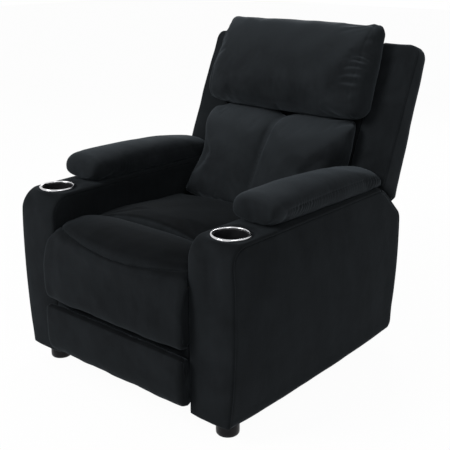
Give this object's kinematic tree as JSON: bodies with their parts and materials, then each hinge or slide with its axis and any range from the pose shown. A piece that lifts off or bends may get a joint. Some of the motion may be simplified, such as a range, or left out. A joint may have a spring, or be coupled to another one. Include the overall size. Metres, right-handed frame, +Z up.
{
  "type": "cinema recliner seat",
  "caption": "Upholstered push-back recliner: padded arms with cup holders, winged reclining back, gliding seat and a footrest that swings up from under the seat front",
  "frame": {"origin": "on the floor under the middle of the seat's box", "axes": "+Z up, -Y the way the sitter faces, +X to the sitter's left"},
  "size_m": [0.786, 0.986, 0.9599],
  "materials": {
    "velvet": "matte",
    "webbing": "matte",
    "plywood": "matte",
    "timber": "matte",
    "frame_steel": "satin",
    "spring_steel": "satin",
    "nylon": "satin",
    "cup_plastic": "satin",
    "chrome_trim": "polished",
    "foot_plastic": "gloss"
  },
  "bodies": {
    "base": {"arm_panel_left": "plywood", "arm_panel_right": "plywood", "arm_top_board_left": "plywood", "arm_top_board_right": "plywood", "arm_front_post_left": "timber", "arm_front_post_right": "timber", "arm_rear_post_left": "timber", "arm_rear_post_right": "timber", "arm_wrap_left": "velvet", "arm_wrap_right": "velvet", "arm_inner_cover_left": "velvet", "arm_inner_cover_right": "velvet", "arm_outer_cover_left": "velvet", "arm_outer_cover_right": "velvet", "arm_pad_left": "velvet", "arm_pad_right": "velvet", "cup_well_left": "cup_plastic", "cup_well_right": "cup_plastic", "cup_ring_left": "chrome_trim", "cup_ring_right": "chrome_trim", "feet": "foot_plastic", "cross_tubes": "frame_steel", "base_rail_left": "frame_steel", "base_rail_right": "frame_steel", "rear_stanchion_left": "frame_steel", "rear_stanchion_right": "frame_steel", "frame_bolts": "frame_steel"},
    "seat": {"seat_plate_left": "frame_steel", "seat_plate_right": "frame_steel", "glide_blocks": "nylon", "seat_side_rail_left": "timber", "seat_side_rail_right": "timber", "seat_front_rail": "timber", "seat_rear_rail": "timber", "seat_springs": "spring_steel", "seat_cushion": "velvet", "knee_roll": "velvet"},
    "back": {"back_upright_left": "timber", "back_upright_right": "timber", "back_top_rail": "timber", "back_middle_rail": "timber", "back_bottom_rail": "timber", "back_webbing": "webbing", "back_foam": "velvet", "rear_panel": "velvet", "wing_left": "velvet", "wing_right": "velvet", "lumbar_cushion": "velvet", "head_pillow": "velvet", "recline_bracket_left": "frame_steel", "recline_bracket_right": "frame_steel"},
    "footrest": {"upper_panel_board": "plywood", "upper_panel_pad": "velvet", "lower_panel_board": "plywood", "lower_panel_pad": "velvet", "footrest_frame_left": "frame_steel", "footrest_frame_right": "frame_steel"},
    "drive_linkage": {"drive_links": "frame_steel", "tie_tube": "frame_steel"},
    "coupler_linkage": {"coupler_links": "frame_steel"}
  },
  "joints": [
    {"name": "seat_glide", "type": "slide", "parent": "base", "child": "seat", "axis": [0, -1, 0], "range_m": [0, 0.05]},
    {"name": "recline", "type": "hinge", "parent": "seat", "child": "back", "pos_m": [0, 0.2046, 0.23], "axis": [-1, 0, 0], "range_deg": [0, 28]},
    {"name": "footrest", "type": "hinge", "parent": "seat", "child": "footrest", "pos_m": [0, -0.4754, 0.44], "axis": [-1, 0, 0], "range_deg": [0, 78]},
    {"name": "drive_links_turn", "type": "hinge", "parent": "seat", "child": "drive_linkage", "pos_m": [0, -0.3454, 0.3], "axis": [-1, 0, 0], "range_deg": [0, 78]},
    {"name": "coupler_turn", "type": "hinge", "parent": "drive_linkage", "child": "coupler_linkage", "pos_m": [0, -0.2804, 0.12], "axis": [1, 0, 0], "range_deg": [0, 78]}
  ],
  "couplings": [
    {"joint": "seat_glide", "follows": "recline", "m_per_rad": 0.1023},
    {"joint": "drive_links_turn", "follows": "footrest", "ratio": 1},
    {"joint": "coupler_turn", "follows": "footrest", "ratio": 1}
  ]
}
